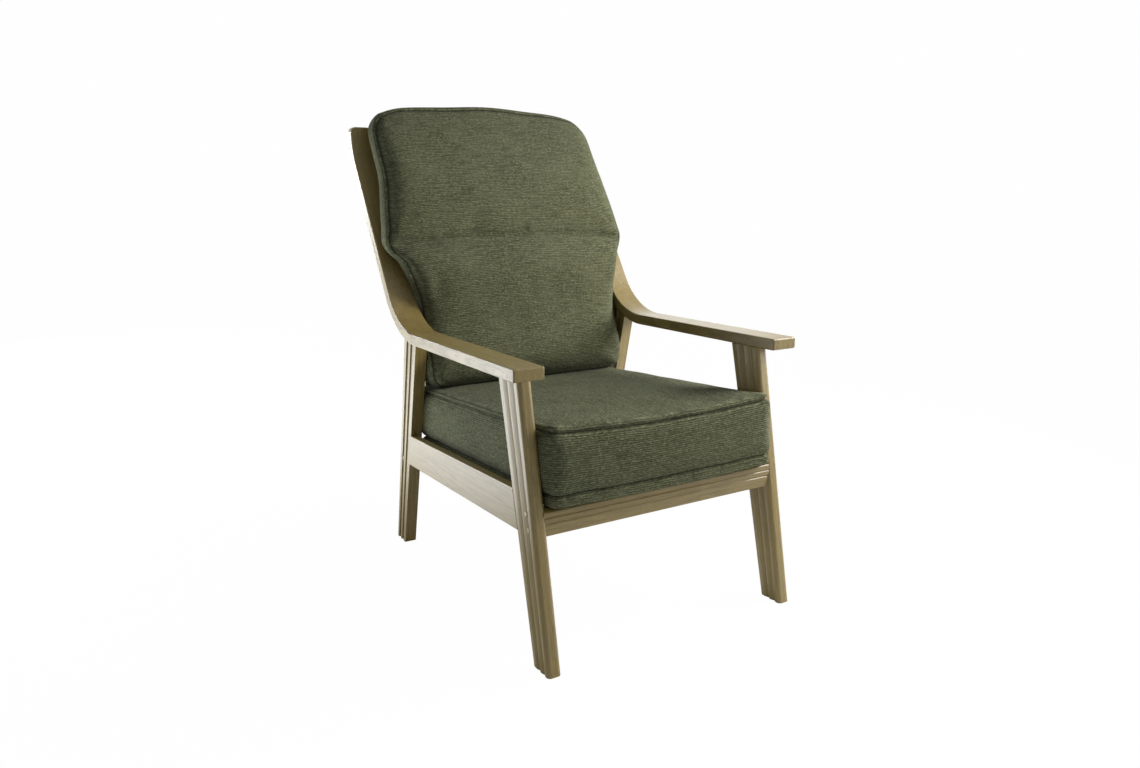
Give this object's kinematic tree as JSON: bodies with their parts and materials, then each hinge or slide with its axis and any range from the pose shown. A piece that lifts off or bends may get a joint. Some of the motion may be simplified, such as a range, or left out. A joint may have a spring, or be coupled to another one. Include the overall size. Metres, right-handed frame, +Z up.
{
  "type": "armchair",
  "caption": "Show-wood armchair: bent arm posts, reeded splayed legs, slatted back, loose boxed seat cushion and a tall two-part back cushion",
  "frame": {"origin": "on the floor, under the middle of the whole chair's outline", "axes": "+Z up, chair faces -Y, X across the chair; left is -X as seen from in front"},
  "size_m": [0.7268, 1.0046, 1.1695],
  "materials": {
    "frame_wood": "satin lacquered golden brown hardwood",
    "dowel_wood": "plain beech",
    "chenille": "ribbed sage green chenille with light and dark flecks",
    "foam": "open-cell foam",
    "zip_tape": "dark woven zip tape",
    "webbing": "black woven elastic webbing",
    "clip_steel": "zinc-plated sheet",
    "bolt_steel": "zinc-plated",
    "cap_bronze": "brown cap, close to the wood's colour"
  },
  "bodies": {
    "frame": {"left_arm_post": "frame_wood", "right_arm_post": "frame_wood", "left_front_leg": "frame_wood", "right_front_leg": "frame_wood", "left_rear_leg": "frame_wood", "right_rear_leg": "frame_wood", "left_side_rail": "frame_wood", "right_side_rail": "frame_wood", "front_rail": "frame_wood", "rear_seat_rail": "frame_wood", "lower_back_rail": "frame_wood", "top_back_rail": "frame_wood", "back_slat_1": "frame_wood", "back_slat_2": "frame_wood", "back_slat_3": "frame_wood", "back_slat_4": "frame_wood", "back_slat_5": "frame_wood", "seat_strap_1": "webbing", "seat_strap_2": "webbing", "seat_strap_3": "webbing", "seat_strap_4": "webbing", "seat_strap_5": "webbing", "strap_clips": "clip_steel", "front_rail_bolts": "bolt_steel", "rear_rail_bolts": "bolt_steel", "top_rail_bolts": "bolt_steel", "barrel_nuts": "bolt_steel", "bolt_caps": "cap_bronze", "side_rail_dowels": "dowel_wood", "arm_dowels": "dowel_wood"},
    "seat_cushion": {"seat_cushion_cover": "chenille", "seat_cushion_core": "foam", "seat_cushion_zip": "zip_tape"},
    "back_cushion": {"back_cushion_cover": "chenille", "back_cushion_core": "foam", "back_cushion_zip": "zip_tape"}
  },
  "joints": [
    {"name": "seat_cushion_lift_out", "type": "slide", "parent": "frame", "child": "seat_cushion", "axis": [0, -0.9982, 0.06], "range_m": [0, 0.3]},
    {"name": "back_cushion_lift_out", "type": "slide", "parent": "frame", "child": "back_cushion", "axis": [0, 0, 1], "range_m": [0, 0.3]}
  ]
}
